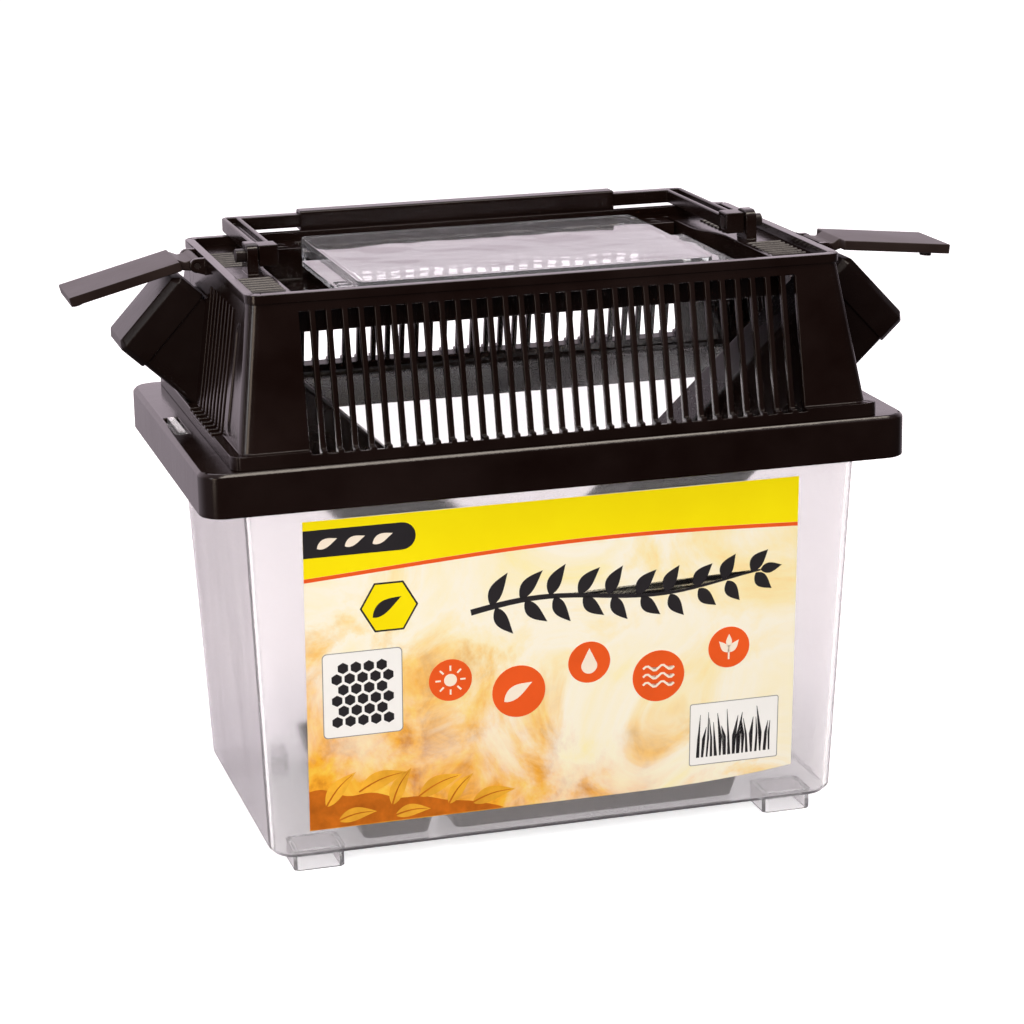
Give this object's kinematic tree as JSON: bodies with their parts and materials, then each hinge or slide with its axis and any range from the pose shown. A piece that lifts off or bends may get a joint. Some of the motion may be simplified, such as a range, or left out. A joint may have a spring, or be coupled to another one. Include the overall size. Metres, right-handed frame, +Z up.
{
  "type": "cricket keeper box",
  "caption": "Clear tapered insect box with a ventilated black lid, folding handle, clear access door, crossing feeding tubes with flaps, and shallow dishes.",
  "frame": {"origin": "middle of the footprint, level with the underside of the feet", "axes": "+Z up, +X along the long side to the right seen from the front, -Y towards the label at the front"},
  "size_m": [0.289, 0.1388, 0.1993],
  "materials": {
    "clear_tub": "clear moulded plastic, very pale lavender grey",
    "label": "satin printed sheet",
    "black_lid": "glossy brown-black plastic",
    "black_handle": "glossy brown-black plastic",
    "clear_door": "clear moulded plastic",
    "black_tube": "glossy brown-black plastic",
    "black_flap": "satin brown-black plastic",
    "dark_dish": "satin dark plastic"
  },
  "bodies": {
    "tub": {"tub": "clear_tub", "label_sheet": "label"},
    "lid": {"lid_skirt": "black_lid", "hood_front": "black_lid", "hood_back": "black_lid", "hood_left": "black_lid", "hood_right": "black_lid", "lid_deck": "black_lid", "flap_pin_left": "black_flap", "flap_pin_right": "black_flap"},
    "handle": {"carry_handle": "black_handle", "handle_grip": "black_handle", "handle_pin_left": "black_handle", "handle_pin_right": "black_handle"},
    "door": {"access_door": "clear_door", "door_peg_left": "clear_door", "door_peg_right": "clear_door"},
    "tube_left": {"feed_tube_left": "black_tube", "tube_cap_left": "black_tube"},
    "tube_right": {"feed_tube_right": "black_tube", "tube_cap_right": "black_tube"},
    "flap_left": {"port_flap_left": "black_flap"},
    "flap_right": {"port_flap_right": "black_flap"},
    "food": {"food_dish": "dark_dish"},
    "water": {"water_dish": "dark_dish"}
  },
  "joints": [
    {"name": "lid_lift", "type": "slide", "parent": "tub", "child": "lid", "axis": [0, 0, 1], "range_m": [0, 0.15]},
    {"name": "handle_turn", "type": "hinge", "parent": "lid", "child": "handle", "pos_m": [0, 0, 0.1951], "axis": [1, 0, 0], "range_deg": [0, 180]},
    {"name": "door_turn", "type": "hinge", "parent": "lid", "child": "door", "pos_m": [0, 0.043, 0.1866], "axis": [-1, 0, 0], "range_deg": [0, 100]},
    {"name": "tube_left_slide", "type": "slide", "parent": "lid", "child": "tube_left", "axis": [-0.7314, 0, 0.682], "range_m": [0, 0.038]},
    {"name": "tube_right_slide", "type": "slide", "parent": "lid", "child": "tube_right", "axis": [0.7314, 0, 0.682], "range_m": [0, 0.038]},
    {"name": "flap_left_turn", "type": "hinge", "parent": "lid", "child": "flap_left", "pos_m": [-0.1011, 0.025, 0.1899], "axis": [0, 1, 0], "range_deg": [0, 110]},
    {"name": "flap_right_turn", "type": "hinge", "parent": "lid", "child": "flap_right", "pos_m": [0.1011, -0.025, 0.1899], "axis": [0, -1, 0], "range_deg": [0, 102]},
    {"name": "food_dish_slide", "type": "slide", "parent": "tub", "child": "food", "axis": [-1, 0, 0], "range_m": [0, 0.02]},
    {"name": "water_dish_slide", "type": "slide", "parent": "tub", "child": "water", "axis": [1, 0, 0], "range_m": [0, 0.02]}
  ],
  "couplings": [
    {"joint": "flap_left_turn", "follows": "tube_left_slide", "rad_per_m": 50.523},
    {"joint": "flap_right_turn", "follows": "tube_right_slide", "rad_per_m": 46.848}
  ]
}
